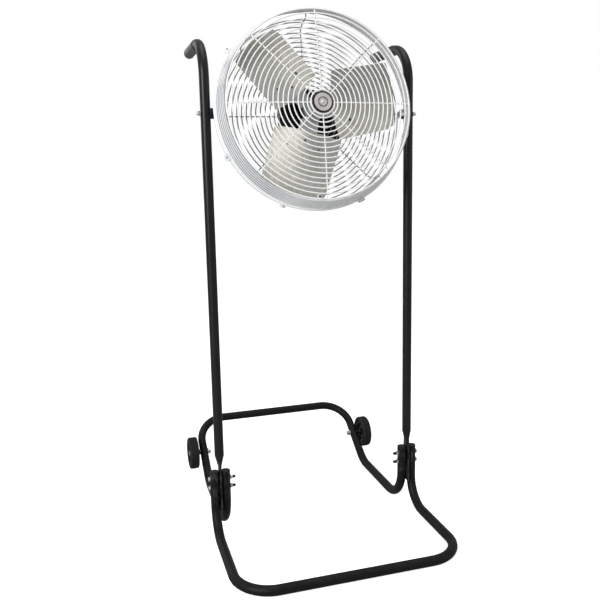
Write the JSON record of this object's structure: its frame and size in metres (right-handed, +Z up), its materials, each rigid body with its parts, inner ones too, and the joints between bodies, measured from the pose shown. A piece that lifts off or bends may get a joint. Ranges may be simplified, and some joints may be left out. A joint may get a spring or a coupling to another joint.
{
  "type": "drum fan",
  "caption": "Roll-about air circulator: guarded three-blade fan head tilting between two tall posts on a bent-tube base with rear wheels.",
  "frame": {"origin": "on the floor plane under the middle of the stand's bounding box", "axes": "+Z up, the fan blows towards -Y, the hand grips and wheels are at +Y, +X is to the right seen from the front"},
  "size_m": [0.817, 1.1328, 1.8337],
  "materials": {
    "post_black": "satin black powder coat",
    "base_black": "fine-textured black powder coat",
    "guard_white": "white powder coat",
    "blade_beige": "warm grey paint",
    "spider_silver": "satin",
    "zinc": "bright zinc plate",
    "dark_screw": "black oxide",
    "motor_black": "satin black",
    "steel_core": "bare laminated steel",
    "copper": "varnished copper wire",
    "vinyl_grip": "soft dark vinyl",
    "tyre_rubber": "matt rubber",
    "hub_plastic": "moulded plastic",
    "black_plastic": "moulded plastic",
    "badge_metal": "turned and dark-rimmed"
  },
  "bodies": {
    "stand": {"front_base_tube": "base_black", "rear_base_tube": "base_black", "base_tube_plugs": "black_plastic", "left_post": "post_black", "right_post": "post_black", "left_grip": "vinyl_grip", "right_grip": "vinyl_grip", "foot_bolts": "zinc", "foot_washers": "zinc", "foot_nuts": "zinc", "thread_caps": "black_plastic", "left_axle_bolt": "zinc", "right_axle_bolt": "zinc", "axle_spacers": "black_plastic", "axle_washers": "zinc", "axle_nuts": "zinc", "pivot_bolts": "zinc", "pivot_spacers": "black_plastic", "pivot_washers": "zinc", "pivot_nuts": "zinc"},
    "head": {"pivot_brackets": "guard_white", "shroud_hoop": "guard_white", "hoop_seam_plate": "guard_white", "front_guard": "guard_white", "rear_guard": "guard_white", "guard_clamps": "guard_white", "clamp_screws": "zinc", "guard_tab": "guard_white", "guard_tab_clip": "guard_white", "guard_screw": "dark_screw", "badge": "badge_metal", "badge_back_plate": "guard_white", "badge_screws": "zinc", "motor_shell": "motor_black", "motor_front_bell": "motor_black", "motor_rear_bell": "motor_black", "bell_screws": "dark_screw", "tie_bolts": "zinc", "motor_box": "motor_black", "stator": "steel_core", "stator_windings": "copper", "motor_bearings": "zinc", "motor_mount_plate": "motor_black", "mount_bolts": "dark_screw", "mount_washers": "dark_screw"},
    "rotor": {"motor_shaft": "steel_core", "rotor_core": "steel_core", "hub_sleeve": "zinc", "set_screw": "dark_screw", "blade_1": "blade_beige", "blade_2": "blade_beige", "blade_3": "blade_beige", "blade_spider": "spider_silver", "blade_rivets": "zinc"},
    "left_wheel": {"left_tyre": "tyre_rubber", "left_wheel_hub": "hub_plastic"},
    "right_wheel": {"right_tyre": "tyre_rubber", "right_wheel_hub": "hub_plastic"}
  },
  "joints": [
    {"name": "head_tilt", "type": "hinge", "parent": "stand", "child": "head", "pos_m": [0, -0.11925, 1.4805], "axis": [-1, 0, 0], "range_deg": [-100, 79]},
    {"name": "fan_spin", "type": "hinge", "parent": "head", "child": "rotor", "pos_m": [0, -0.11925, 1.4839], "axis": [0, -0.9833, 0.1822], "continuous": true},
    {"name": "left_wheel_spin", "type": "hinge", "parent": "stand", "child": "left_wheel", "pos_m": [-0.3885, 0.41225, 0.1028], "axis": [1, 0, 0], "continuous": true},
    {"name": "right_wheel_spin", "type": "hinge", "parent": "stand", "child": "right_wheel", "pos_m": [0.3885, 0.41225, 0.1028], "axis": [1, 0, 0], "continuous": true}
  ]
}
